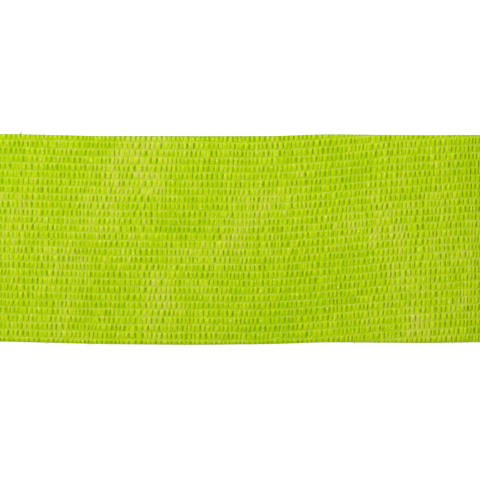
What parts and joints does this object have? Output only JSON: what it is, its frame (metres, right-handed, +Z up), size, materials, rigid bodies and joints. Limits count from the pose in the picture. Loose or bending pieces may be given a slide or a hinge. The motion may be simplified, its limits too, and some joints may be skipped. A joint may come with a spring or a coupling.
{
  "type": "sweat wristband",
  "caption": "Soft elastic wristband of crinkled cling fabric, a loop lying flattened that bends open along six lines across the strip to take a wrist.",
  "frame": {"origin": "middle of the underside of the flattened loop, on the surface it lies on", "axes": "+X along the flattened loop, +Y along the wrist's axis across the strip, +Z up from the back panel to the front panel"},
  "size_m": [0.088, 0.035, 0.0094],
  "materials": {
    "outer_web": "lime green crinkled nonwoven web, matt with a faint sheen on the crests",
    "inner_web": "lime green crinkled nonwoven web, matt, against the skin",
    "elastic_threads": "pale yellow-green elastic threads in their binder, satin"
  },
  "bodies": {
    "lap_under": {"lap_under_outer_web": "outer_web", "lap_under_elastic_threads": "elastic_threads", "lap_under_inner_web": "inner_web"},
    "back_left": {"back_left_outer_web": "outer_web", "back_left_elastic_threads": "elastic_threads", "back_left_inner_web": "inner_web"},
    "front_left": {"front_left_outer_web": "outer_web", "front_left_elastic_threads": "elastic_threads", "front_left_inner_web": "inner_web"},
    "front_centre": {"front_centre_outer_web": "outer_web", "front_centre_elastic_threads": "elastic_threads", "front_centre_inner_web": "inner_web"},
    "front_right": {"front_right_outer_web": "outer_web", "front_right_elastic_threads": "elastic_threads", "front_right_inner_web": "inner_web"},
    "back_right": {"back_right_outer_web": "outer_web", "back_right_elastic_threads": "elastic_threads", "back_right_inner_web": "inner_web"},
    "lap_over": {"lap_over_outer_web": "outer_web", "lap_over_elastic_threads": "elastic_threads", "lap_over_inner_web": "inner_web"}
  },
  "joints": [
    {"name": "back_left_bend", "type": "hinge", "parent": "lap_under", "child": "back_left", "pos_m": [-0.0147, 0, 0.0015], "axis": [0, 1, 0], "range_deg": [0, 60]},
    {"name": "left_fold_bend", "type": "hinge", "parent": "back_left", "child": "front_left", "pos_m": [-0.044, 0, 0.0047], "axis": [0, -1, 0], "range_deg": [0, 120]},
    {"name": "front_left_bend", "type": "hinge", "parent": "front_left", "child": "front_centre", "pos_m": [-0.0147, 0, 0.0079], "axis": [0, 1, 0], "range_deg": [0, 60]},
    {"name": "front_right_bend", "type": "hinge", "parent": "front_centre", "child": "front_right", "pos_m": [0.0147, 0, 0.0079], "axis": [0, 1, 0], "range_deg": [0, 60]},
    {"name": "right_fold_bend", "type": "hinge", "parent": "front_right", "child": "back_right", "pos_m": [0.044, 0, 0.0047], "axis": [0, -1, 0], "range_deg": [0, 120]},
    {"name": "back_right_bend", "type": "hinge", "parent": "back_right", "child": "lap_over", "pos_m": [0.0147, 0, 0.0015], "axis": [0, 1, 0], "range_deg": [0, 60]}
  ],
  "couplings": [
    {"joint": "left_fold_bend", "follows": "back_left_bend", "ratio": 2},
    {"joint": "front_left_bend", "follows": "back_left_bend", "ratio": 1},
    {"joint": "front_right_bend", "follows": "back_left_bend", "ratio": 1},
    {"joint": "right_fold_bend", "follows": "back_left_bend", "ratio": 2},
    {"joint": "back_right_bend", "follows": "back_left_bend", "ratio": 1}
  ]
}
